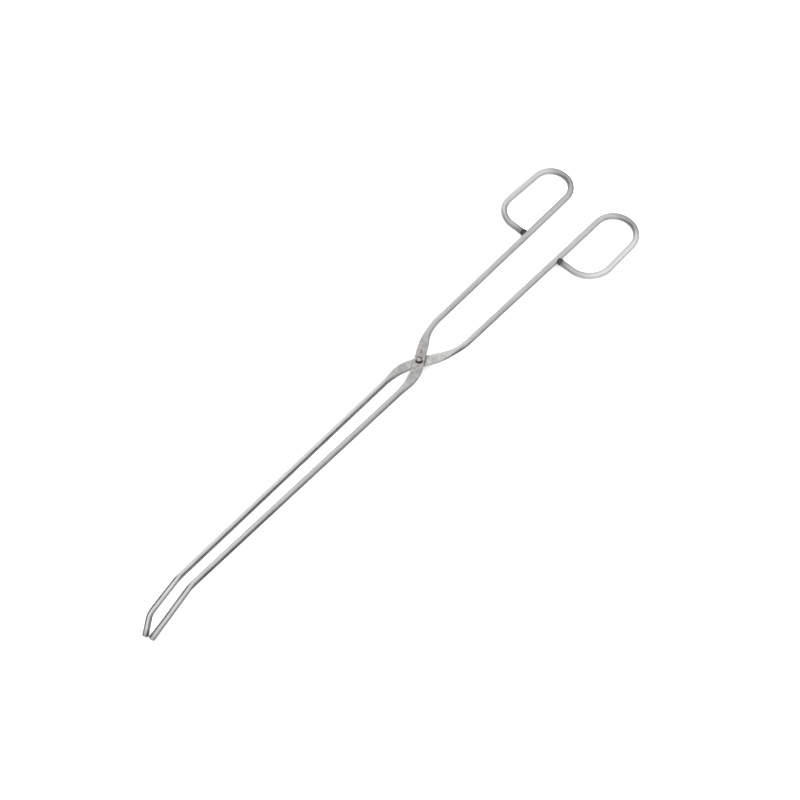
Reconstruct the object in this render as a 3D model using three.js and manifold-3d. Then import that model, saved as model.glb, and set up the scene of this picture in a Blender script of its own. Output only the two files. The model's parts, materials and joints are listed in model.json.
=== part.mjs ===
// Long crucible tongs for reaching into a furnace, lying closed on a bench.
//
// Each arm is one steel rod. It is flattened where the arms cross, bent into a finger loop whose end is
// welded back to the shank, and bent down and inwards at the jaw. A domed rivet through both flats is the
// only pivot. Millimetres.
//
// Everything is drawn in the plane of the tongs: the pivot is at the origin, the handles lie towards +X,
// the jaws towards -X, and +Z is the upper side. The finished tongs are then tilted until the loops and
// the tips both rest on the bench, and centred over the origin.

import * as THREE from 'three';
import { mergeVertices } from 'three/addons/utils/BufferGeometryUtils.js';
import Module from 'manifold-3d';

// Rod, and the flat that is hammered into it at the crossing
const ROD_RADIUS = 3;
const FLAT_WIDTH = 10.2;
const FLAT_THICKNESS = 2.9;
const FLAT_EDGE_RADIUS = 1.2;
const FLAT_REACH = 12;
const TAPER_LENGTH = 27;
const ARM_GAP = 0.3;

// Rivet
const RIVET_RADIUS = 1.75;
const RIVET_CLEARANCE = 0.05;
const HEAD_RADIUS = 2.5;
const HEAD_HEIGHT = 1.2;
const HEAD_RIM = 0.45;
const HEAD_GAP = 0.3;

// Bends that both arms share
const HANDLE_BEND_RADIUS = 58;
const JAW_BEND_RADIUS = 40;
const DROP_ANGLE = THREE.MathUtils.degToRad(30.6);
const DROP_BEND_RADIUS = 15;
const HOOK_BEND_RADIUS = 18;
const JAW_LENGTH = 57.3;

// Weld at the end of each finger loop
const WELD_RADIUS = 3.5;
const WELD_LENGTH = 2.6;
const WELD_GAP = 0.3;

// The two arms are bent by hand, so each has its own widths. Offsets are from the centre line.
const UPPER_ARM = {
    side: 1,
    crossAngle: THREE.MathUtils.degToRad(28.8),
    shankOffset: 17.35,
    loopStart: 173,
    loopEnd: 249.6,
    loopWidth: 41.55,
    loopTaper: 3.55,
    loopLean: 1.1,
    loopCornerRadius: 20.6,
    jawOffset: 9,
    dropStart: 301.3,
    dropOffset: 5.3,
    hookStart: 34,
    hookOffset: 4.8,
    tipOffset: 4.1,
};
const LOWER_ARM = {
    side: -1,
    crossAngle: THREE.MathUtils.degToRad(31.8),
    shankOffset: 19.15,
    loopStart: 170.6,
    loopEnd: 249.7,
    loopWidth: 45.05,
    loopTaper: 1.6,
    loopLean: 2.6,
    loopCornerRadius: 25,
    jawOffset: 8.3,
    dropStart: 303.3,
    dropOffset: 8.4,
    hookStart: 39.5,
    hookOffset: 10.3,
    tipOffset: 1.75,
};

// Mesh fineness
const SECTION_SIDES = 16;
const MAX_BEND_STEP = THREE.MathUtils.degToRad(11.3);
const MAX_ARC_LENGTH = 6;
const TAPER_STEP = 4;
const ROUND_SIDES = 24;
const DOME_STEPS = 5;

const wasm = await Module();
wasm.setup();

// ---------------------------------------------------------------- solids

function toManifold(geometry) {
    const bare = geometry.clone();
    bare.deleteAttribute('normal');
    bare.deleteAttribute('uv');
    const merged = mergeVertices(bare, 1e-5);
    return new wasm.Manifold(new wasm.Mesh({
        numProp: 3,
        vertProperties: new Float32Array(merged.attributes.position.array),
        triVerts: new Uint32Array(merged.index.array),
    }));
}

function fromManifold(solid) {
    const mesh = solid.getMesh();
    const geometry = new THREE.BufferGeometry();
    geometry.setAttribute('position', new THREE.BufferAttribute(mesh.vertProperties, 3));
    geometry.setIndex(new THREE.BufferAttribute(mesh.triVerts, 1));
    geometry.computeVertexNormals();
    return geometry;
}

function cutAway(geometry, ...tools) {
    let solid = toManifold(geometry);
    for (const tool of tools) {
        solid = solid.subtract(toManifold(tool));
    }
    return fromManifold(solid);
}

// ---------------------------------------------------------------- centre line of an arm

// How far out the shank runs at the weld. The inner run of a loop leans outwards a little.
function weldOffset(arm) {
    const bendAt = arm.shankOffset / Math.tan(arm.crossAngle);
    return arm.shankOffset + arm.loopLean * (arm.loopStart - bendAt) / (arm.loopEnd - bendAt);
}

// The corners that the rod is bent round, from the welded end of the loop to the tip of the jaw.
function armCorners(arm) {
    const loopSide = arm.shankOffset + arm.loopWidth;
    const endRadius = (arm.loopWidth - arm.loopTaper - arm.loopLean) / 2;
    const along = Math.cos(DROP_ANGLE);
    const down = Math.sin(DROP_ANGLE);
    const corner = (x, y, z, radius) => ({ at: new THREE.Vector3(x, arm.side * y, z), radius });
    return [
        corner(arm.loopStart, weldOffset(arm) + ROD_RADIUS + WELD_LENGTH, 0, 0),
        corner(arm.loopStart, loopSide, 0, arm.loopCornerRadius),
        corner(arm.loopEnd, loopSide - arm.loopTaper, 0, endRadius),
        corner(arm.loopEnd, arm.shankOffset + arm.loopLean, 0, endRadius),
        corner(arm.shankOffset / Math.tan(arm.crossAngle), arm.shankOffset, 0, HANDLE_BEND_RADIUS),
        corner(-arm.jawOffset / Math.tan(arm.crossAngle), -arm.jawOffset, 0, JAW_BEND_RADIUS),
        corner(-arm.dropStart, -arm.dropOffset, 0, DROP_BEND_RADIUS),
        corner(
            -arm.dropStart - arm.hookStart * along,
            -arm.hookOffset,
            -arm.hookStart * down,
            HOOK_BEND_RADIUS,
        ),
        corner(-arm.dropStart - JAW_LENGTH * along, -arm.tipOffset, -JAW_LENGTH * down, 0),
    ];
}

// Stations along one rounded corner, each a point and the direction of the rod there.
function bendStations(before, corner, after) {
    const arriving = corner.at.clone().sub(before).normalize();
    const leaving = after.clone().sub(corner.at).normalize();
    const turn = arriving.angleTo(leaving);
    const start = corner.at.clone().addScaledVector(arriving, -corner.radius * Math.tan(turn / 2));
    const axis = arriving.clone().cross(leaving).normalize();
    const spoke = arriving.clone().cross(axis).multiplyScalar(corner.radius);
    const centre = start.clone().sub(spoke);
    const steps = Math.ceil(Math.max(turn / MAX_BEND_STEP, turn * corner.radius / MAX_ARC_LENGTH));
    return Array.from({ length: steps + 1 }, (_, i) => {
        const angle = turn * i / steps;
        return {
            point: spoke.clone().applyAxisAngle(axis, angle).add(centre),
            direction: arriving.clone().applyAxisAngle(axis, angle),
        };
    });
}

// The stretch from one station to the next, with extra stations where the section changes.
function stretchStations(from, to) {
    const steps = Math.ceil(from.point.distanceTo(to.point) / TAPER_STEP);
    const stretch = Array.from({ length: steps }, (_, i) => ({
        point: from.point.clone().lerp(to.point, i / steps),
        direction: from.direction.clone().lerp(to.direction, i / steps).normalize(),
    }));
    const reach = FLAT_REACH + TAPER_LENGTH + TAPER_STEP;
    return stretch.filter((station, i) => i === 0 || station.point.length() < reach);
}

function armStations(arm) {
    const corners = armCorners(arm);
    const straight = (from, to, at) => ({ point: at.clone(), direction: to.clone().sub(from).normalize() });
    const first = corners[0].at;
    const last = corners[corners.length - 1].at;
    const stations = [straight(first, corners[1].at, first)];
    for (let i = 1; i < corners.length - 1; i++) {
        stations.push(...bendStations(corners[i - 1].at, corners[i], corners[i + 1].at));
    }
    stations.push(straight(corners[corners.length - 2].at, last, last));
    const spaced = stations.slice(1).flatMap((station, i) => stretchStations(stations[i], station));
    return [...spaced, stations[stations.length - 1]];
}

// ---------------------------------------------------------------- section of an arm

// 1 on the flat at the pivot, 0 where the rod is round.
function flatness(distance) {
    return 1 - THREE.MathUtils.smoothstep(distance, FLAT_REACH, FLAT_REACH + TAPER_LENGTH);
}

// A rounded rectangle whose sides touch the true section, and which is a plain circle on the round rod.
function sectionRing(station, side) {
    const flat = flatness(Math.hypot(station.point.x, station.point.y));
    const mix = THREE.MathUtils.lerp;
    const halfWidth = mix(ROD_RADIUS, FLAT_WIDTH / 2, flat);
    const halfHeight = mix(ROD_RADIUS, FLAT_THICKNESS / 2, flat);
    const edge = mix(ROD_RADIUS, FLAT_EDGE_RADIUS, flat);
    const lift = side * mix(0, (FLAT_THICKNESS + ARM_GAP) / 2, flat);
    const across = new THREE.Vector3(0, 0, 1).cross(station.direction).normalize();
    const upward = station.direction.clone().cross(across);
    const ring = [];
    for (let i = 0; i < SECTION_SIDES; i++) {
        const angle = (i + 0.5) * 2 * Math.PI / SECTION_SIDES;
        const c = Math.cos(angle);
        const s = Math.sin(angle);
        const reach = edge / Math.cos(Math.PI / SECTION_SIDES);
        const point = station.point.clone();
        point.addScaledVector(across, Math.sign(c) * (halfWidth - edge) + reach * c);
        point.addScaledVector(upward, Math.sign(s) * (halfHeight - edge) + reach * s);
        point.z += lift;
        ring.push(point);
    }
    return ring;
}

// Skins a row of equal rings into one closed body.
function skinRings(rings) {
    const sides = rings[0].length;
    const positions = rings.flat();
    const index = [];
    for (let r = 0; r < rings.length - 1; r++) {
        for (let i = 0; i < sides; i++) {
            const a = r * sides + i;
            const b = r * sides + (i + 1) % sides;
            index.push(a, b, a + sides, b, b + sides, a + sides);
        }
    }
    for (const [ring, first] of [[rings[0], 0], [rings[rings.length - 1], (rings.length - 1) * sides]]) {
        const centre = ring.reduce((sum, p) => sum.add(p), new THREE.Vector3()).divideScalar(sides);
        positions.push(centre);
        for (let i = 0; i < sides; i++) {
            const pair = [first + i, first + (i + 1) % sides];
            if (first === 0) {
                pair.reverse();
            }
            index.push(...pair, positions.length - 1);
        }
    }
    const geometry = new THREE.BufferGeometry().setFromPoints(positions);
    geometry.setIndex(index);
    geometry.computeVertexNormals();
    return geometry;
}

// ---------------------------------------------------------------- pieces

function armGeometry(arm) {
    const rod = skinRings(armStations(arm).map((station) => sectionRing(station, arm.side)));
    const hole = RIVET_RADIUS + RIVET_CLEARANCE;
    const drill = new THREE.CylinderGeometry(hole, hole, 4 * FLAT_THICKNESS, ROUND_SIDES);
    drill.rotateX(Math.PI / 2);
    return cutAway(rod, drill);
}

// Shank with a dome at each end, turned about the pivot axis.
function rivetGeometry() {
    const seat = FLAT_THICKNESS + ARM_GAP / 2 + HEAD_GAP;
    const half = [new THREE.Vector2(RIVET_RADIUS, seat), new THREE.Vector2(HEAD_RADIUS, seat)];
    for (let i = 0; i <= DOME_STEPS; i++) {
        const angle = i / DOME_STEPS * Math.PI / 2;
        const height = HEAD_RIM + (HEAD_HEIGHT - HEAD_RIM) * Math.sin(angle);
        half.push(new THREE.Vector2(HEAD_RADIUS * Math.cos(angle), seat + height));
    }
    half[half.length - 1].x = 0;
    const mirrored = half.map((p) => new THREE.Vector2(p.x, -p.y)).reverse();
    const geometry = new THREE.LatheGeometry([...mirrored, ...half], ROUND_SIDES);
    geometry.rotateX(Math.PI / 2);
    return geometry;
}

// Bead between the end of the loop and the shank, hollowed to sit over the shank.
function weldGeometry() {
    const half = ROD_RADIUS + WELD_LENGTH - WELD_GAP;
    const waist = ROD_RADIUS * 0.9;
    const profile = [[0, 0], [waist, 0], [WELD_RADIUS, 0.7 * half], [waist, half], [0, half]];
    const bead = new THREE.LatheGeometry(profile.map(([x, y]) => new THREE.Vector2(x, y)), SECTION_SIDES);
    const clearRadius = (ROD_RADIUS + WELD_GAP) / Math.cos(Math.PI / SECTION_SIDES);
    const shank = new THREE.CylinderGeometry(clearRadius, clearRadius, 4 * WELD_RADIUS, SECTION_SIDES);
    shank.rotateY(Math.PI / SECTION_SIDES);
    shank.rotateZ(Math.PI / 2);
    return cutAway(bead, shank);
}

// ---------------------------------------------------------------- materials

const satinSteel = new THREE.MeshStandardMaterial({ color: 0xb9bbbd, roughness: 0.34, metalness: 1 });
const rivetSteel = new THREE.MeshStandardMaterial({ color: 0xa5a6a8, roughness: 0.3, metalness: 1 });
const weldSteel = new THREE.MeshStandardMaterial({ color: 0x5c554f, roughness: 0.6, metalness: 0.9 });

// ---------------------------------------------------------------- assembly

function addPiece(parent, name, geometry, material) {
    const mesh = new THREE.Mesh(geometry, material);
    mesh.name = name;
    parent.add(mesh);
    return mesh;
}

function addWeld(parent, name, arm) {
    const weld = addPiece(parent, name, weldGeometry(), weldSteel);
    weld.position.set(arm.loopStart, arm.side * weldOffset(arm), 0);
    weld.rotation.x = arm.side > 0 ? 0 : Math.PI;
}

// Tilt about the Y axis at which the lowest points on both sides of the pivot are level.
function restTilt(meshes) {
    const points = meshes.flatMap((mesh) => {
        const position = mesh.geometry.attributes.position;
        return Array.from({ length: position.count }, (_, i) => [position.getX(i), position.getZ(i)]);
    });
    const lowest = (tilt, side) => points
        .filter(([x]) => Math.sign(x) === side)
        .map(([x, z]) => ({ x, height: z * Math.cos(tilt) - x * Math.sin(tilt) }))
        .reduce((low, p) => (p.height < low.height ? p : low));
    let tilt = 0;
    for (let pass = 0; pass < 6; pass++) {
        const handle = lowest(tilt, 1);
        const jaw = lowest(tilt, -1);
        tilt += (handle.height - jaw.height) / (handle.x - jaw.x);
    }
    return tilt;
}

const flatTongs = new THREE.Group();
const arms = [
    addPiece(flatTongs, 'upper_arm', armGeometry(UPPER_ARM), satinSteel),
    addPiece(flatTongs, 'lower_arm', armGeometry(LOWER_ARM), satinSteel),
];
addPiece(flatTongs, 'pivot_rivet', rivetGeometry(), rivetSteel);
addWeld(flatTongs, 'upper_arm_weld', UPPER_ARM);
addWeld(flatTongs, 'lower_arm_weld', LOWER_ARM);

flatTongs.rotation.y = restTilt(arms);
flatTongs.updateMatrixWorld(true);
const box = new THREE.Box3().setFromObject(flatTongs, true);
flatTongs.position.set(
    -(box.min.x + box.max.x) / 2,
    -(box.min.y + box.max.y) / 2,
    -box.min.z,
);

const crucibleTongs = new THREE.Group();
crucibleTongs.add(flatTongs);
crucibleTongs.updateMatrixWorld(true);

export default crucibleTongs;
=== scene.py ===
import json
import math

import bpy
import numpy as np
from mathutils import Matrix, Vector, noise


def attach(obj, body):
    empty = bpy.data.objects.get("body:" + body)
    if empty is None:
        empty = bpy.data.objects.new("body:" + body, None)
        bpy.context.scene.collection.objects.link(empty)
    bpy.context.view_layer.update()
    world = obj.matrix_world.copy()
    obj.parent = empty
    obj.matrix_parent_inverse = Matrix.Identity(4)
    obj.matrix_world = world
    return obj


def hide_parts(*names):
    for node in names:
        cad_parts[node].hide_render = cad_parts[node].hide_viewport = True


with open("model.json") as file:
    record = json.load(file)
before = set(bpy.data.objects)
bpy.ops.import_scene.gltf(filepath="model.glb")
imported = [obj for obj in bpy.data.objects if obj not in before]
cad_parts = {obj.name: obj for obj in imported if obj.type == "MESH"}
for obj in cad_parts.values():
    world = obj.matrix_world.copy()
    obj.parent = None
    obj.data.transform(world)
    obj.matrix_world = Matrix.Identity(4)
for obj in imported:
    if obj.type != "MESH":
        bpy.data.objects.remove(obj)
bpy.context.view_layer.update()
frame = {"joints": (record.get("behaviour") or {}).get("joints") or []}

# Crucible tongs of bent steel rod. Both arms are swept again along the centre lines that the CAD
# model uses, with a true round section, forged flats and rounded ends. The rivet and the two weld
# beads are built to fit. Like the CAD model, everything is drawn in the plane of the tongs, with
# the pivot at the origin, the handles towards +X and the upper side towards +Z, so +Y is on the
# left when looking along the handles. PLANE carries it to the model's own place. Metres.

MM = 0.001

# Rod, and the flat that is forged into it at the crossing
ROD_RADIUS = 3 * MM
FLAT_WIDTH = 10.2 * MM
FLAT_FACE = 3.05 * MM
FLAT_EDGE_RADIUS = 1.2 * MM
FLAT_REACH = 12 * MM
TAPER_LENGTH = 27 * MM
CONTACT_GAP = 0.04 * MM

# Hammer marks on the outer faces of the flats, and the centre punch's mark on the upper arm
HAMMER_PITCH = 3.4 * MM
HAMMER_DEPTH = 0.1 * MM
PUNCH_AT = 9.2 * MM
PUNCH_DEPTH = 0.5 * MM
PUNCH_RADIUS = 1.2 * MM

# Rounded end of a jaw
TIP_ROUNDING = 0.7 * MM
TIP_STEPS = 5

# Rivet
RIVET_RADIUS = 1.75 * MM
HOLE_RADIUS = 1.8 * MM
HEAD_RADIUS = 2.5 * MM
HEAD_HEIGHT = 1.2 * MM
HEAD_RIM = 0.45 * MM
RIM_UNDERCUT = 0.2 * MM
RIM_CORNER = 0.25 * MM
PEEN_PITCH = 2.1 * MM
PEEN_DEPTH = 0.16 * MM

# Bends that both arms share
HANDLE_BEND_RADIUS = 58 * MM
JAW_BEND_RADIUS = 40 * MM
DROP_ANGLE = math.radians(30.6)
DROP_BEND_RADIUS = 15 * MM
HOOK_BEND_RADIUS = 18 * MM
JAW_LENGTH = 57.3 * MM

# The weld that closes each finger loop, measured from the shank's surface up the loop's leg
WELD_LENGTH = 2.6 * MM
LEG_INTO_WELD = 1.2 * MM

# The two arms. side is 1 for the arm with its handle on the left and its flat on top, -1 for the
# other. The last three values are the loop's polish, the jaw's dullness and painted shade on the
# flat towards the jaws, not sizes.
UPPER_ARM = dict(
    side=1,
    cross_angle=math.radians(28.8),
    shank_offset=17.35 * MM,
    loop_start=173 * MM,
    loop_end=249.6 * MM,
    loop_width=41.55 * MM,
    loop_taper=3.55 * MM,
    loop_lean=1.1 * MM,
    loop_corner_radius=20.6 * MM,
    jaw_offset=9 * MM,
    drop_start=301.3 * MM,
    drop_offset=5.3 * MM,
    hook_start=34 * MM,
    hook_offset=4.8 * MM,
    tip_offset=4.1 * MM,
    loop_polish=0.5,
    jaw_dullness=1.0,
    jaw_flat_shade=0.0,
)
LOWER_ARM = dict(
    side=-1,
    cross_angle=math.radians(31.8),
    shank_offset=19.15 * MM,
    loop_start=170.6 * MM,
    loop_end=249.7 * MM,
    loop_width=45.05 * MM,
    loop_taper=1.6 * MM,
    loop_lean=2.6 * MM,
    loop_corner_radius=25 * MM,
    jaw_offset=8.3 * MM,
    drop_start=303.3 * MM,
    drop_offset=8.4 * MM,
    hook_start=39.5 * MM,
    hook_offset=10.3 * MM,
    tip_offset=1.75 * MM,
    loop_polish=0.95,
    jaw_dullness=-0.1,
    jaw_flat_shade=0.16,
)

# Mesh fineness
SECTION_POINTS = 48
HOLE_SIDES = 48
RIVET_SIDES = 64
DOME_STEPS = 14
BEAD_SIDES = 72
BEAD_ROWS = 16
BEND_STEP = 1.2 * MM
STRAIGHT_STEP = 4 * MM
TAPER_STEP = 1 * MM
FLAT_STEP = 0.5 * MM

# Finish of the steel. A pair of lengths is where a change begins and where it is complete.
HANDLE_BRUSHING = (10 * MM, 60 * MM)
JAW_SHINE = (120 * MM, 290 * MM)
JAW_SHINE_SHARE = 0.6
WORN_EDGE = 1.8 * MM
WORN_EDGE_FADE = 1.4 * MM
FAR_FROM_WELD = 1.0

# Finger loops: what use polishes, painted shade on inner sides and, from the weld to the far end,
# round the bends, and a painted highlight on the side that faces right. Left and right are the
# way a side of the rod faces.
LOOP_FADE = 8 * MM
INNER_SHADE_FACING_LEFT = 0.95
INNER_SHADE_FACING_RIGHT = 0.05
INNER_SHADE_IN_BENDS = 0.25
BENDS_SHADE = (0.25, 0.85)
HIGHLIGHT_FACING_RIGHT = 0.35

# Dirt and painted shade, as shares of fully dark and the lengths over which they thin out
# painted shadow where the jaw tips meet
TIP_CONTACT_SHADE = 0.75
TIP_CONTACT_SHADE_FADE = (2 * MM, 8 * MM)
# dirt round the rivet's head with painted shade on its lower side, and two spots of painted shade
# by its rim
HEAD_RING_FULL = 0.9 * MM
HEAD_RING_END = 1.9 * MM
RIM_SHADE_SPOTS = ((1.9 * MM, 2 * MM), (3.1 * MM, 0))
RIM_SPOT_SHADE = 0.9
RIM_SPOT_FADE = (0.6 * MM, 1.5 * MM)
# darkening inside the punch mark
PUNCH_DARKENING = 0.35
# painted shade along the edge of the other arm, where the arms cross
CREASE_SHADE = 0.7
CREASE_SHADE_FADE = (-0.3 * MM, 1.8 * MM)
# painted shade on the lower arm's flat towards the jaws, where it rises and where it falls away
JAW_FLAT_SHADE_RISE = (8 * MM, 14 * MM)
JAW_FLAT_SHADE_FALL = (28 * MM, 46 * MM)


def plane_matrix():
    """From the plane of the tongs to the model's frame, read off the hinge."""
    joint = frame["joints"][0]
    up = Vector(joint["axis"]).normalized()
    side = Vector((0, 1, 0))
    along = side.cross(up).normalized()
    turned = Matrix((along, side, up)).transposed().to_4x4()
    return Matrix.Translation(joint["pos_m"]) @ turned


PLANE = plane_matrix()


# ---------------------------------------------------------------- camera


def add_camera():
    """A long lens, placed by its angles to the plane of the tongs and the point it looks at."""
    azimuth = math.radians(-47.9)
    elevation = math.radians(59.513)
    distance = 2.0
    target = Vector((-0.04173, -0.01428, 0))
    forward = Vector(
        (
            -math.sin(azimuth) * math.cos(elevation),
            math.cos(azimuth) * math.cos(elevation),
            -math.sin(elevation),
        )
    )
    right = Vector((math.cos(azimuth), math.sin(azimuth), 0))
    turned = Matrix((right, right.cross(forward), -forward)).transposed().to_4x4()
    data = bpy.data.cameras.new("camera")
    data.lens = 99.63
    data.sensor_width = 36
    data.clip_start = 0.01
    data.clip_end = 50
    camera = bpy.data.objects.new("camera", data)
    camera.matrix_world = PLANE @ Matrix.Translation(target - forward * distance) @ turned
    bpy.context.scene.collection.objects.link(camera)
    bpy.context.scene.camera = camera


# ---------------------------------------------------------------- centre line of an arm


def weld_offset(arm):
    """How far out the shank runs at the weld, as the inner run of a loop leans outwards."""
    bend_at = arm["shank_offset"] / math.tan(arm["cross_angle"])
    share = (arm["loop_start"] - bend_at) / (arm["loop_end"] - bend_at)
    return arm["shank_offset"] + share * arm["loop_lean"]


def arm_corners(arm):
    """Corners that the rod is bent round, with their bend radii, from the weld to the jaw's tip."""
    loop_side = arm["shank_offset"] + arm["loop_width"]
    end_radius = (arm["loop_width"] - arm["loop_taper"] - arm["loop_lean"]) / 2
    slope = math.tan(arm["cross_angle"])
    along = math.cos(DROP_ANGLE)
    down = math.sin(DROP_ANGLE)
    leg_end = weld_offset(arm) + ROD_RADIUS + WELD_LENGTH - LEG_INTO_WELD
    corners = [
        (arm["loop_start"], leg_end, 0, 0),
        (arm["loop_start"], loop_side, 0, arm["loop_corner_radius"]),
        (arm["loop_end"], loop_side - arm["loop_taper"], 0, end_radius),
        (arm["loop_end"], arm["shank_offset"] + arm["loop_lean"], 0, end_radius),
        (arm["shank_offset"] / slope, arm["shank_offset"], 0, HANDLE_BEND_RADIUS),
        (-arm["jaw_offset"] / slope, -arm["jaw_offset"], 0, JAW_BEND_RADIUS),
        (-arm["drop_start"], -arm["drop_offset"], 0, DROP_BEND_RADIUS),
        (
            -arm["drop_start"] - arm["hook_start"] * along,
            -arm["hook_offset"],
            -arm["hook_start"] * down,
            HOOK_BEND_RADIUS,
        ),
        (
            -arm["drop_start"] - JAW_LENGTH * along,
            -arm["tip_offset"],
            -JAW_LENGTH * down,
            0,
        ),
    ]
    return [(Vector((x, arm["side"] * y, z)), radius) for x, y, z, radius in corners]


def bend(before, corner, radius, after):
    """Stations round one bend, from the end of one straight to the start of the next."""
    arriving = (corner - before).normalized()
    leaving = (after - corner).normalized()
    turn = arriving.angle(leaving)
    axis = arriving.cross(leaving).normalized()
    spoke = arriving.cross(axis) * radius
    centre = corner - arriving * radius * math.tan(turn / 2) - spoke
    steps = math.ceil(turn * radius / BEND_STEP)
    stations = []
    for i in range(steps + 1):
        turned = Matrix.Rotation(turn * i / steps, 3, axis)
        stations.append((centre + turned @ spoke, turned @ arriving))
    return stations


def straight_step(point):
    """Spacing of the sections on a straight: fine on the flat, coarse on the plain rod."""
    distance = math.hypot(point.x, point.y)
    if distance < FLAT_REACH:
        return FLAT_STEP
    return TAPER_STEP if distance < FLAT_REACH + TAPER_LENGTH else STRAIGHT_STEP


def straight(start, end):
    """Stations between two others, without either of them."""
    stations = []
    travelled = straight_step(start[0])
    length = (end[0] - start[0]).length
    while travelled < length - FLAT_STEP:
        share = travelled / length
        point = start[0].lerp(end[0], share)
        stations.append((point, start[1].lerp(end[1], share).normalized()))
        travelled += straight_step(point)
    return stations


def centre_line(arm):
    """Stations all along the rod, each a point and the direction of the rod there."""
    corners = arm_corners(arm)
    first, second = corners[0][0], corners[1][0]
    stations = [(first, (second - first).normalized())]
    for i in range(1, len(corners) - 1):
        around = bend(corners[i - 1][0], *corners[i], corners[i + 1][0])
        stations += straight(stations[-1], around[0]) + around
    last = (corners[-1][0], stations[-1][1])
    return stations + straight(stations[-1], last) + [last]


# ---------------------------------------------------------------- section of an arm


def smoothstep(value, low, high):
    share = min(1.0, max(0.0, (value - low) / (high - low)))
    return share * share * (3 - 2 * share)


def mix(a, b, share):
    return a + (b - a) * share


def flatness(point):
    """1 on the flat at the pivot, 0 where the rod is round."""
    distance = math.hypot(point.x, point.y)
    return 1 - smoothstep(distance, FLAT_REACH, FLAT_REACH + TAPER_LENGTH)


def outline_point(fraction, half_width, half_height, edge):
    """The point that far round a rounded rectangle, starting from the middle of its +width side."""
    side_run = half_height - edge
    face_run = half_width - edge
    quarter = side_run + face_run + edge * math.pi / 2
    quadrant, share = divmod(fraction * 4, 1)
    mirrored = quadrant % 2 == 1
    run = quarter * (1 - share if mirrored else share)
    if run < side_run:
        x, y = half_width, run
    elif run > quarter - face_run:
        x, y = quarter - run, half_height
    else:
        angle = (run - side_run) / edge
        x, y = face_run + edge * math.cos(angle), side_run + edge * math.sin(angle)
    return (-x if quadrant in (1, 2) else x), (-y if quadrant in (2, 3) else y)


def cell_distance(place):
    """Squared distance to the middle of the nearest cell, capped at 1, for facets and dents."""
    return min(1.0, noise.voronoi(place, distance_metric="DISTANCE_SQUARED")[0][0])


def forged(x, y, flat, outer, arm):
    """How far the hammer and the centre punch have sunk the outer face of the flat at x, y."""
    if flat < 0.02 or not outer:
        return 0.0
    dents = 1 - cell_distance(Vector((x, y, 0)) / HAMMER_PITCH)
    ripple = 0.5 + 0.5 * noise.noise(Vector((x, y, 5)) / HAMMER_PITCH / 2)
    hammered = flat * HAMMER_DEPTH * (0.7 * dents + 0.3 * ripple)
    return hammered + PUNCH_DEPTH * punched(x, y, arm)


def punched(x, y, arm):
    """1 in the middle of the centre punch's mark on the upper arm, 0 away from it."""
    if arm["side"] < 0:
        return 0.0
    angle = arm["cross_angle"]
    distance = math.hypot(x - PUNCH_AT * math.cos(angle), y - PUNCH_AT * math.sin(angle))
    return math.exp(-((distance / PUNCH_RADIUS) ** 2))


def section(station, arm, shrink):
    """One ring of vertices, and the same ring as offsets from the centre line."""
    point, direction = station
    flat = flatness(point)
    flat_thickness = FLAT_FACE - CONTACT_GAP / 2
    half_width = mix(ROD_RADIUS, FLAT_WIDTH / 2, flat) - shrink
    half_height = mix(ROD_RADIUS, flat_thickness / 2, flat) - shrink
    edge = mix(ROD_RADIUS, FLAT_EDGE_RADIUS, flat) - shrink
    lift = arm["side"] * flat * (FLAT_FACE - flat_thickness / 2)
    across = Vector((0, 0, 1)).cross(direction).normalized()
    upward = direction.cross(across)
    ring = []
    offsets = []
    for i in range(SECTION_POINTS):
        x, y = outline_point(i / SECTION_POINTS, half_width, half_height, edge)
        vertex = point + across * x + upward * y
        outer = y * arm["side"] > 0.9 * half_height
        sunk = forged(vertex.x, vertex.y, flat, outer, arm)
        vertex += Vector((0, 0, lift - arm["side"] * sunk))
        ring.append(vertex)
        offsets.append((x, y))
    return ring, offsets


def new_object(name, vertices, faces, matrix=PLANE, smooth=True):
    """A mesh object, with its vertices carried to the model's place by the matrix."""
    mesh = bpy.data.meshes.new(name)
    mesh.from_pydata([matrix @ Vector(v) for v in vertices], [], faces)
    mesh.polygons.foreach_set("use_smooth", [smooth] * len(mesh.polygons))
    mesh.update()
    made = bpy.data.objects.new(name, mesh)
    bpy.context.scene.collection.objects.link(made)
    return made


def skin(rings):
    """Quads between equal rings, and a fan over each end."""
    count = len(rings[0])
    vertices = [v for ring in rings for v in ring]
    faces = []
    for r in range(len(rings) - 1):
        for i in range(count):
            j = (i + 1) % count
            a, b = r * count + i, r * count + j
            faces.append((a, b, b + count, a + count))
    last = (len(rings) - 1) * count
    for first, ring in ((0, rings[0]), (last, rings[-1])):
        centre = sum((Vector(v) for v in ring), Vector()) / count
        vertices.append(centre)
        for i in range(count):
            pair = (first + i, first + (i + 1) % count)
            if first == 0:
                pair = pair[::-1]
            faces.append((*pair, len(vertices) - 1))
    return vertices, faces


def rounded_tip(stations):
    """Each station with how much its section shrinks: nothing, but for a few that round the end."""
    end, direction = stations[-1]
    rounding = []
    for i in range(TIP_STEPS + 1):
        angle = math.pi / 2 * i / TIP_STEPS
        setback = TIP_ROUNDING * (1 - math.sin(angle))
        shrink = TIP_ROUNDING * (1 - math.cos(angle))
        rounding.append(((end - direction * setback, direction), shrink))
    clear_of_end = TIP_ROUNDING + FLAT_STEP
    plain = [(s, 0.0) for s in stations[:-1] if (s[0] - end).length > clear_of_end]
    return plain + rounding


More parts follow.
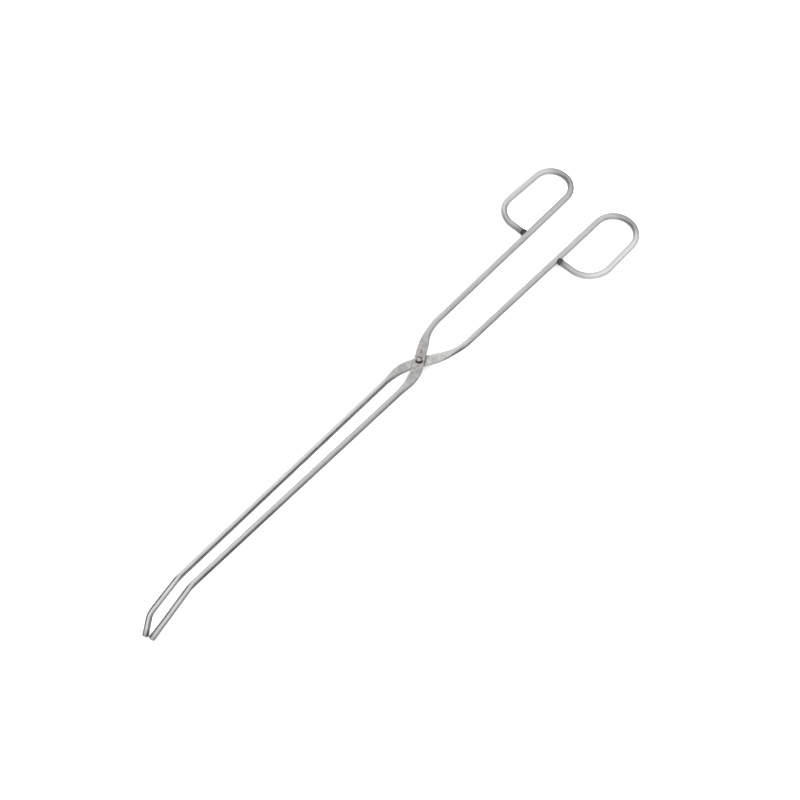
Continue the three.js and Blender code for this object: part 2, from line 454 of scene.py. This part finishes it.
def add_arm(name, arm, other):
    """One arm, swept from its weld to its tip, with what its material reads on its vertices."""
    rings = []
    places = []
    polish_and_light_values = []
    wear = []
    run = 0.0
    stations = rounded_tip(centre_line(arm))
    previous = stations[0][0][0]
    for station, shrink in stations:
        run += (station[0] - previous).length
        previous = station[0]
        ring, offsets = section(station, arm, shrink)
        rings.append(ring)
        places += [(run, x, y) for x, y in offsets]
        polish_and_light_values += [loop_polish_and_light(station, v, arm) for v in ring]
        wear += [edge_wear(station, x) for x, _ in offsets]
    # the middle of each end has a vertex of its own
    places += [(0, 0, 0), (run, 0, 0)]
    polish_and_light_values += [polish_and_light_values[0], polish_and_light_values[-1]]
    wear += [0.0, 0.0]
    vertices, faces = skin(rings)
    made = new_object(name, vertices, faces)
    tips_meet = (arm_corners(arm)[-1][0] + arm_corners(other)[-1][0]) / 2
    store(made, "rod_place", "FLOAT_VECTOR", places)
    store(made, "weld_distance", "FLOAT", [past_weld(v, arm) for v in vertices])
    store(made, "loop_polish_and_light", "FLOAT", polish_and_light_values)
    store(made, "edge_wear", "FLOAT", wear)
    store(made, "brushed", "FLOAT", [brushed(v, arm) for v in vertices])
    store(made, "flatness", "FLOAT", [flatness(v) for v in vertices])
    store(made, "grime_and_shade", "FLOAT", [grime_and_shade(v, arm, other, tips_meet) for v in vertices])
    return made


def brushed(v, arm):
    """1 on the handles, which are brushed dull, fading to what is left of that along the jaws."""
    jaw = arm["jaw_dullness"] * (1 - JAW_SHINE_SHARE * smoothstep(-v.x, *JAW_SHINE))
    return max(jaw, smoothstep(v.x, *HANDLE_BRUSHING))


def loop_polish_and_light(station, v, arm):
    """Above 0 where fingers polish a loop and for a painted highlight facing right; below 0 for
    painted shade.
    """
    point, direction = station
    begins = arm["loop_start"] - ROD_RADIUS
    if point.x < begins:
        return 0.0
    turned = 1 - smoothstep(abs(direction.x), 0.3, 0.97)
    middle = arm["shank_offset"] + arm["loop_width"] / 2
    outer = smoothstep(abs(point.y), middle, middle + arm["loop_width"] / 3)
    halfway = (arm["loop_start"] + arm["loop_end"]) / 2
    inwards = Vector((halfway, arm["side"] * middle, 0)) - point
    inwards = (inwards - direction * inwards.dot(direction)).normalized()
    inner = smoothstep((v - point).dot(inwards) / ROD_RADIUS, -0.4, 0.6)
    # painted shade on the inner side of the rod, most where that side faces left
    inner_shade = INNER_SHADE_FACING_LEFT if inwards.y > 0 else INNER_SHADE_FACING_RIGHT
    shaded = mix(inner_shade, INNER_SHADE_IN_BENDS, turned) * inner
    # painted shade round the bends, more towards the far end
    shaded += mix(*BENDS_SHADE, smoothstep(point.x, halfway, arm["loop_end"])) * turned
    polished_and_lit = arm["loop_polish"] * outer * (1 - turned)
    # painted highlight on the side of the rod that faces right
    polished_and_lit += HIGHLIGHT_FACING_RIGHT * smoothstep((point - v).y / ROD_RADIUS, -0.2, 0.8)
    fade = max(smoothstep(point.x, begins, begins + LOOP_FADE), turned)
    return fade * (polished_and_lit - shaded)


def edge_wear(station, x):
    """1 along the rounded edges of the flat, which rub bright."""
    past = abs(x) - (FLAT_WIDTH / 2 - WORN_EDGE)
    return flatness(station[0]) * smoothstep(past, 0, WORN_EDGE_FADE)


def past_weld(v, arm):
    """How far up the loop's leg a point lies from the weld. The rest of the arm counts as far."""
    leg = v.y * arm["side"] - weld_offset(arm) - ROD_RADIUS
    across = abs(v.x - arm["loop_start"]) - ROD_RADIUS
    return leg if leg > 0 and across < ROD_RADIUS else FAR_FROM_WELD


def head_dirt_and_shade(v):
    """Dirt round the rivet's head, painted shade on its lower side, and two spots of painted shade
    by its rim.
    """
    # heavier on the head's lower side, which is painted shade
    darkness = 0.3 + 0.7 * smoothstep(-(v.x + v.y) / HEAD_RADIUS, -0.3, 0.8)
    past_head = math.hypot(v.x, v.y) - HEAD_RADIUS
    ring = darkness * (1 - smoothstep(past_head, HEAD_RING_FULL * darkness, HEAD_RING_END * darkness))
    spots = max(1 - smoothstep(math.hypot(v.x - x, v.y - y), *RIM_SPOT_FADE) for x, y in RIM_SHADE_SPOTS)
    return max(ring, RIM_SPOT_SHADE * spots)


def grime_and_shade(v, arm, other, tips_meet):
    """Dirt and painted shade round the rivet, darkening in the punch mark, painted shade along the
    other arm's edge and on the lower arm's flat, painted shadow where the tips meet.
    """
    if math.hypot(v.x, v.y) > JAW_FLAT_SHADE_FALL[1]:
        # painted shadow where the tips meet
        return TIP_CONTACT_SHADE * (1 - smoothstep((v - tips_meet).length, *TIP_CONTACT_SHADE_FADE))
    # painted shade on the lower arm's flat towards the jaws
    jaw_flat_shade = arm["jaw_flat_shade"] * smoothstep(-v.x, *JAW_FLAT_SHADE_RISE)
    jaw_flat_shade *= 1 - smoothstep(-v.x, *JAW_FLAT_SHADE_FALL)
    if v.z * arm["side"] > FLAT_FACE * 0.6:
        return max(head_dirt_and_shade(v), PUNCH_DARKENING * punched(v.x, v.y, arm), jaw_flat_shade)
    # painted shade along the other arm's edge, where the arms cross
    angle = other["cross_angle"] * other["side"]
    past_edge = abs(-math.sin(angle) * v.x + math.cos(angle) * v.y) - FLAT_WIDTH / 2
    return max(CREASE_SHADE * (1 - smoothstep(past_edge, *CREASE_SHADE_FADE)), jaw_flat_shade)


def store(made, name, kind, values):
    """A named value on every vertex, for the materials to read."""
    attribute = made.data.attributes.new(name, kind, "POINT")
    flat = np.array(values, np.float32).ravel()
    attribute.data.foreach_set("vector" if kind == "FLOAT_VECTOR" else "value", flat)


def cut_hole(made):
    """Drills the rivet's hole through an arm."""
    depth = 4 * FLAT_FACE
    rings = []
    for z in (-depth, depth):
        turn = [2 * math.pi * i / HOLE_SIDES for i in range(HOLE_SIDES)]
        ring = [Vector((HOLE_RADIUS * math.cos(a), HOLE_RADIUS * math.sin(a), z)) for a in turn]
        rings.append(ring)
    drill = new_object(made.name + "_drill", *skin(rings))
    hole = made.modifiers.new("hole", "BOOLEAN")
    hole.object = drill
    hole.operation = "DIFFERENCE"
    hole.solver = "EXACT"
    graph = bpy.context.evaluated_depsgraph_get()
    drilled = bpy.data.meshes.new_from_object(
        made.evaluated_get(graph), preserve_all_data_layers=True, depsgraph=graph
    )
    made.modifiers.clear()
    made.data = drilled
    bpy.data.objects.remove(drill)


def peened(v):
    """How far the hammer has sunk the dome into facets."""
    return PEEN_DEPTH * (1 - cell_distance(Vector((v.x, v.y, v.z * 0.3)) / PEEN_PITCH))


def rim_shade_share(v):
    """Painted shade: 1 under the rivet's rims and down the domes' lower side, 0 on the rest of the
    domes.
    """
    rim_shade = 1 - smoothstep(abs(v.z), FLAT_FACE + HEAD_RIM * 0.7, FLAT_FACE + HEAD_HEIGHT * 0.85)
    # painted shade down the domes' lower side
    return max(rim_shade, 0.9 * smoothstep(-(v.x + v.y) / HEAD_RADIUS, 0.55, 1.15))


def add_rivet():
    """Shank with a peened dome at each end, turned about the pivot axis."""
    profile = [
        (RIVET_RADIUS, 0.0),
        (RIVET_RADIUS, FLAT_FACE),
        (HEAD_RADIUS - RIM_UNDERCUT, FLAT_FACE),
        (HEAD_RADIUS, FLAT_FACE + RIM_CORNER),
    ]
    for i in range(DOME_STEPS):
        angle = math.pi / 2 * i / DOME_STEPS
        height = HEAD_RIM + (HEAD_HEIGHT - HEAD_RIM) * math.sin(angle)
        profile.append((HEAD_RADIUS * math.cos(angle), FLAT_FACE + height))
    whole = [(r, -z) for r, z in reversed(profile[1:])] + profile
    rings = []
    for r, z in whole:
        ring = []
        for i in range(RIVET_SIDES):
            angle = 2 * math.pi * i / RIVET_SIDES
            v = Vector((r * math.cos(angle), r * math.sin(angle), z))
            if abs(z) > FLAT_FACE + HEAD_RIM * 0.9:
                v.z -= math.copysign(peened(v), z)
            ring.append(v)
        rings.append(ring)
    made = new_object("rivet", *skin(rings))
    to_plane = PLANE.inverted()
    store(made, "rim_shade", "FLOAT", [rim_shade_share(to_plane @ v.co) for v in made.data.vertices])
    return made


def add_weld(name, arm):
    """A rippled bead that runs round the end of the loop's leg and down on to the shank."""
    over_leg = 0.35 * MM
    length = ROD_RADIUS + WELD_LENGTH + over_leg
    foot_along = 3.2 * MM
    foot_up = 2.6 * MM
    seated = ROD_RADIUS + 0.02 * MM
    bulge = 0.25 * MM
    ripples = 13
    ripple_height = 0.07 * MM
    top_wander = 0.4 * MM
    top_dish = 0.8 * MM
    rings = []
    for row in range(BEAD_ROWS + 1):
        share = row / BEAD_ROWS
        swell = math.sin(math.pi * share) ** 0.8 if 0 < share < 1 else 0.0
        ring = []
        for i in range(BEAD_SIDES):
            angle = 2 * math.pi * i / BEAD_SIDES
            c, s = math.cos(angle), math.sin(angle)
            wander = noise.noise(Vector((c * 1.3, s * 1.3, arm["side"] * 2.0)))
            top = length + top_wander * wander
            foot = math.sqrt(seated**2 - (foot_up * s) ** 2)
            phase = ripples * angle + 2.4 * math.sin(math.pi * share)
            grow = (bulge * (1 + 0.35 * wander) + ripple_height * math.sin(phase)) * swell
            x = (mix(foot_along * (1 + 0.08 * wander), seated, share) + grow) * c
            z = (mix(foot_up, seated, share) + grow) * s
            y = mix(foot, top, share)
            ring.append(Vector((x, y, z)))
        rings.append(ring)
    vertices, faces = skin(rings)
    # the middles of the two ends lie inside the shank and inside the leg
    vertices[-2] = Vector((0, ROD_RADIUS * 0.8, 0))
    vertices[-1] = Vector((0, length - top_dish, 0))
    turned = Matrix.Rotation(0 if arm["side"] > 0 else math.pi, 4, "X")
    place = Matrix.Translation((arm["loop_start"], arm["side"] * weld_offset(arm), 0))
    faces = [f[::-1] for f in faces]
    return new_object(name, vertices, faces, PLANE @ place @ turned)


# ---------------------------------------------------------------- materials


class Nodes:
    """Short names for making and joining the nodes of one material."""

    def __init__(self, name):
        self.material = bpy.data.materials.new(name)
        self.material.use_nodes = True
        self.tree = self.material.node_tree
        self.tree.nodes.clear()

    def add(self, kind, **inputs):
        node = self.tree.nodes.new("ShaderNode" + kind)
        for name, value in inputs.items():
            self.put(node.inputs[name.replace("_", " ")], value)
        return node

    def put(self, socket, value):
        if isinstance(value, bpy.types.NodeSocket):
            self.tree.links.new(value, socket)
        else:
            socket.default_value = value

    def attribute(self, name, output="Fac"):
        node = self.add("Attribute")
        node.attribute_name = name
        return node.outputs[output]

    def maths(self, operation, a, b, clamp=False):
        node = self.add("Math")
        node.operation = operation
        node.use_clamp = clamp
        self.put(node.inputs[0], a)
        self.put(node.inputs[1], b)
        return node.outputs[0]

    def plus(self, a, b, clamp=False):
        return self.maths("ADD", a, b, clamp)

    def times(self, a, b, clamp=False):
        return self.maths("MULTIPLY", a, b, clamp)

    def noise(self, place, density, detail=3.0, roughness=0.5):
        """Noise with about that many features in a metre, along each axis."""
        scaled = self.add("VectorMath")
        scaled.operation = "MULTIPLY"
        self.put(scaled.inputs[0], place)
        self.put(scaled.inputs[1], density)
        settings = dict(Scale=1.0, Detail=detail, Roughness=roughness)
        return self.add("TexNoise", Vector=scaled.outputs[0], **settings).outputs[0]

    def ranged(self, value, low, high, to_low=0.0, to_high=1.0):
        """A smooth change from to_low to to_high as the value goes from low to high."""
        node = self.add("MapRange", Value=value, From_Min=low, From_Max=high)
        node.interpolation_type = "SMOOTHSTEP"
        self.put(node.inputs["To Min"], to_low)
        self.put(node.inputs["To Max"], to_high)
        return node.outputs[0]

    def mixed(self, share, a, b):
        node = self.add("Mix")
        node.data_type = "RGBA"
        self.put(node.inputs[0], share)
        self.put(node.inputs[6], a)
        self.put(node.inputs[7], b)
        return node.outputs[2]

    def finish(self, colour, roughness, height, depth):
        """Ends a metal with its colour, roughness and bump, the bump's depth in metres."""
        bump = self.add("Bump", Height=height, Distance=depth, Strength=1.0)
        inputs = dict(Base_Color=colour, Roughness=roughness, Normal=bump.outputs[0])
        shader = self.add("BsdfPrincipled", Metallic=1.0, **inputs)
        self.add("OutputMaterial", Surface=shader.outputs[0])
        return self.material


def grey(value, warmth=0.0):
    """A grey, a little warmer or cooler than neutral."""
    return (value * (1 + warmth), value, value * (1 - warmth), 1.0)


# dirt, and painted shade and shadow at the crossing, the rivet, the lower arm's flat and the tips
DIRT_AND_SHADE_COLOUR = grey(0.05, 0.08)
WORN_COLOUR = grey(0.74)
# polish on the loops, and painted highlight on their side facing right
POLISH_AND_HIGHLIGHT_COLOUR = grey(0.9)
# painted shade on the loops' inner sides and round their bends
PAINTED_SHADE_COLOUR = grey(0.3)


def satin_steel():
    """Drawn rod with fine lines and handling marks, forged flats, tint by the weld, polish and
    painted light on the loops, dirt and painted shade.
    """
    n = Nodes("satin_steel")
    place = n.attribute("rod_place", "Vector")
    lines = n.noise(place, (60, 5200, 5200), detail=2.0)
    coarse_lines = n.noise(place, (22, 1500, 1500), detail=2.0)
    clouds = n.noise(place, (70, 160, 160))
    spots = n.noise(place, (700, 700, 700), detail=2.0, roughness=0.6)
    mottle = n.noise(place, (330, 330, 330), detail=2.0)
    drawn = n.plus(n.times(lines, 0.6), n.times(coarse_lines, 0.4))

    # bare rod, then what use and forging have done to it, and painted highlight and shade on the
    # loops
    bright = n.mixed(n.ranged(clouds, 0.3, 0.7), grey(0.61), grey(0.7, 0.004))
    lined = n.mixed(n.ranged(drawn, 0.35, 0.65, 0.0, 0.3), bright, grey(0.5))
    pitted = n.mixed(n.ranged(spots, 0.62, 0.72, 0.0, 0.35), lined, grey(0.36, 0.02))
    # on the loops, polish and a painted highlight lighten the rod and painted shade darkens it
    polish_and_light = n.attribute("loop_polish_and_light")
    polished_and_lit = n.mixed(n.times(polish_and_light, 0.9, clamp=True), pitted, POLISH_AND_HIGHLIGHT_COLOUR)
    shaded = n.mixed(n.times(polish_and_light, -0.65, clamp=True), polished_and_lit, PAINTED_SHADE_COLOUR)
    flat = n.attribute("flatness")
    scale = n.mixed(n.ranged(mottle, 0.38, 0.62), grey(0.43, 0.015), grey(0.62, 0.015))
    forged_flat = n.mixed(n.times(flat, 0.85), shaded, scale)
    wear = n.times(n.attribute("edge_wear"), 0.65, clamp=True)
    body = n.mixed(wear, forged_flat, WORN_COLOUR)

    # heat tint up the loop's leg: straw, then blue, then black scale against the weld
    weld = n.plus(n.attribute("weld_distance"), n.ranged(clouds, 0.3, 0.7, -0.001, 0.001))
    straw = n.mixed(n.ranged(weld, 0.009, 0.016, 0.5, 0.0), body, grey(0.42, 0.05))
    blue = n.mixed(n.ranged(weld, 0.005, 0.01, 0.7, 0.0), straw, grey(0.3, -0.03))
    black = n.mixed(n.ranged(weld, 0.002, 0.005, 0.9, 0.0), blue, grey(0.1, 0.05))
    # dirt, and painted shade and shadow round the rivet, along the other arm's edge, on the lower
    # arm's flat and where the tips meet
    patchy = n.ranged(spots, 0.25, 0.6, 0.65, 1.0)
    dirt_and_shade = n.times(n.attribute("grime_and_shade"), patchy, clamp=True)
    colour = n.mixed(dirt_and_shade, black, DIRT_AND_SHADE_COLOUR)

    satin = n.ranged(drawn, 0.3, 0.7, 0.17, 0.25)
    clouded = n.plus(satin, n.ranged(clouds, 0.3, 0.7, -0.03, 0.05))
    handles = n.plus(clouded, n.times(n.attribute("brushed"), 0.28))
    loops = n.plus(handles, n.times(polish_and_light, 0.1))
    flats = n.plus(loops, n.times(flat, 0.16))
    tinted = n.plus(flats, n.ranged(weld, 0.002, 0.009, 0.1, 0.0))
    roughness = n.plus(tinted, n.times(dirt_and_shade, 0.3), clamp=True)

    height = n.plus(drawn, n.times(spots, 0.5))
    return n.finish(colour, roughness, height, depth=0.02 * MM)


def rivet_steel():
    """Peened head: smoother and a little darker than the rod, with painted shade under the rims and
    down the lower side.
    """
    n = Nodes("rivet_steel")
    position = n.add("NewGeometry").outputs["Position"]
    clouds = n.noise(position, (900, 900, 900))
    scratches = n.noise(position, (6000, 900, 900), detail=2.0)
    clean = n.mixed(n.ranged(clouds, 0.35, 0.65), grey(0.42, 0.01), grey(0.58, 0.01))
    patchy = n.ranged(clouds, 0.3, 0.6, 0.7, 1.0)
    # painted shade under the rims and down the lower side of each dome
    dirt_and_shade = n.times(n.attribute("rim_shade"), patchy, clamp=True)
    colour = n.mixed(dirt_and_shade, clean, DIRT_AND_SHADE_COLOUR)
    satin = n.ranged(clouds, 0.3, 0.7, 0.24, 0.36)
    roughness = n.plus(satin, n.times(dirt_and_shade, 0.35), clamp=True)
    return n.finish(colour, roughness, scratches, depth=0.01 * MM)


def weld_bead():
    """Dark heat-tinted weld metal."""
    n = Nodes("weld_bead")
    position = n.add("NewGeometry").outputs["Position"]
    clouds = n.noise(position, (500, 500, 500))
    grains = n.noise(position, (3500, 3500, 3500), roughness=0.6)
    tint = n.mixed(n.ranged(clouds, 0.35, 0.65), grey(0.06, -0.04), grey(0.12, 0.06))
    colour = n.mixed(n.ranged(grains, 0.5, 0.7, 0.0, 0.5), tint, grey(0.26, 0.02))
    roughness = n.ranged(grains, 0.3, 0.7, 0.38, 0.6)
    return n.finish(colour, roughness, grains, depth=0.06 * MM)


# ---------------------------------------------------------------- studio


def add_floor():
    """A wide matt white floor that the steel doesn't reflect."""
    n = Nodes("floor")
    paint = dict(Base_Color=(0.9, 0.9, 0.9, 1), Roughness=1.0, Specular_IOR_Level=0.0)
    shader = n.add("BsdfPrincipled", **paint)
    n.add("OutputMaterial", Surface=shader.outputs[0])
    half = 6.0
    corners = [(-half, -half, 0), (half, -half, 0), (half, half, 0), (-half, half, 0)]
    floor = new_object("floor", corners, [(0, 1, 2, 3)], Matrix.Identity(4), smooth=False)
    floor.visible_glossy = False
    floor.data.materials.append(n.material)


def add_softbox(name, place, aim, size, power, in_reflections=True):
    """A square area light, turned towards aim."""
    data = bpy.data.lights.new(name, "AREA")
    data.shape = "RECTANGLE"
    data.size = data.size_y = size
    data.energy = power
    box = bpy.data.objects.new(name, data)
    box.location = place
    box.rotation_euler = (Vector(aim) - Vector(place)).to_track_quat("-Z", "Y").to_euler()
    box.visible_glossy = in_reflections
    bpy.context.scene.collection.objects.link(box)


def facing(tree, direction, towards, low, high, dark, bright):
    """Goes from dark to bright as the cosine between two directions goes from low to high."""
    dot = tree.nodes.new("ShaderNodeVectorMath")
    dot.operation = "DOT_PRODUCT"
    tree.links.new(direction, dot.inputs[0])
    dot.inputs[1].default_value = Vector(towards).normalized()
    ramp = tree.nodes.new("ShaderNodeMapRange")
    ramp.interpolation_type = "SMOOTHSTEP"
    tree.links.new(dot.outputs["Value"], ramp.inputs["Value"])
    ramp.inputs["From Min"].default_value = low
    ramp.inputs["From Max"].default_value = high
    ramp.inputs["To Min"].default_value = dark
    ramp.inputs["To Max"].default_value = bright
    return ramp.outputs[0]


def add_studio():
    """A pale room, brightest behind the tongs, with dark flags and two reflectors."""
    world = bpy.data.worlds.new("studio")
    bpy.context.scene.world = world
    world.use_nodes = True
    tree = world.node_tree
    tree.nodes.clear()
    direction = tree.nodes.new("ShaderNodeTexCoord").outputs["Generated"]
    light = facing(tree, direction, (0, 1, 0.15), -0.1, 0.95, 0.87, 1.4)
    # flags and reflectors: the way to each, the cosines where it begins and is full, and its light
    patches = (
        ((0.72, -0.68, 0.1), 0.5, 0.9, -0.8),
        ((-0.4, 0.8, 0.45), 0.76, 0.97, -1.15),
        ((-0.25, -0.95, 0.05), 0.8, 0.97, -0.5),
        ((-0.93, 0.33, -0.1), 0.75, 0.97, -0.8),
        ((0.93, 0.34, 0.12), 0.86, 0.98, -0.6),
        ((-0.75, -0.3, 0.6), 0.4, 0.9, 0.5),
        ((0.38, 0.1, 0.92), 0.7, 0.97, 0.17),
    )
    for towards, low, high, change in patches:
        total = tree.nodes.new("ShaderNodeMath")
        total.operation = "ADD"
        tree.links.new(light, total.inputs[0])
        tree.links.new(facing(tree, direction, towards, low, high, 0, change), total.inputs[1])
        light = total.outputs[0]
    room = tree.nodes.new("ShaderNodeBackground")
    tree.links.new(light, room.inputs["Strength"])
    seen = tree.nodes.new("ShaderNodeBackground")
    seen.inputs["Strength"].default_value = 1.0
    path = tree.nodes.new("ShaderNodeLightPath")
    choice = tree.nodes.new("ShaderNodeMixShader")
    tree.links.new(path.outputs["Is Camera Ray"], choice.inputs[0])
    tree.links.new(room.outputs[0], choice.inputs[1])
    tree.links.new(seen.outputs[0], choice.inputs[2])
    output = tree.nodes.new("ShaderNodeOutputWorld")
    tree.links.new(choice.outputs[0], output.inputs[0])
    add_softbox("table_lamp", (0, 0, 1.6), (0, 0, 0), size=2.4, power=90, in_reflections=False)
    add_softbox("handle_fill", (0.78, -0.55, 0.4), (0.3, 0, 0), size=0.8, power=1.2)
    add_softbox("loop_fill", (0.42, -0.38, 0.13), (0.22, -0.02, 0), size=0.25, power=0.2)
    bpy.context.scene.view_settings.view_transform = "Standard"


# ---------------------------------------------------------------- assembly


add_camera()
add_floor()
add_studio()

steel = satin_steel()
bead_metal = weld_bead()
arms = (("upper_arm", UPPER_ARM, LOWER_ARM), ("lower_arm", LOWER_ARM, UPPER_ARM))
for name, arm, other in arms:
    rod = add_arm(name + "_rod", arm, other)
    cut_hole(rod)
    rod.data.materials.append(steel)
    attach(rod, name + "_body")
    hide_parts(name)
    bead = add_weld(name + "_weld_bead", arm)
    bead.data.materials.append(bead_metal)
    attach(bead, name + "_body")
    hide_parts(name + "_weld")

rivet = add_rivet()
rivet.data.materials.append(rivet_steel())
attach(rivet, "lower_arm_body")
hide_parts("pivot_rivet")
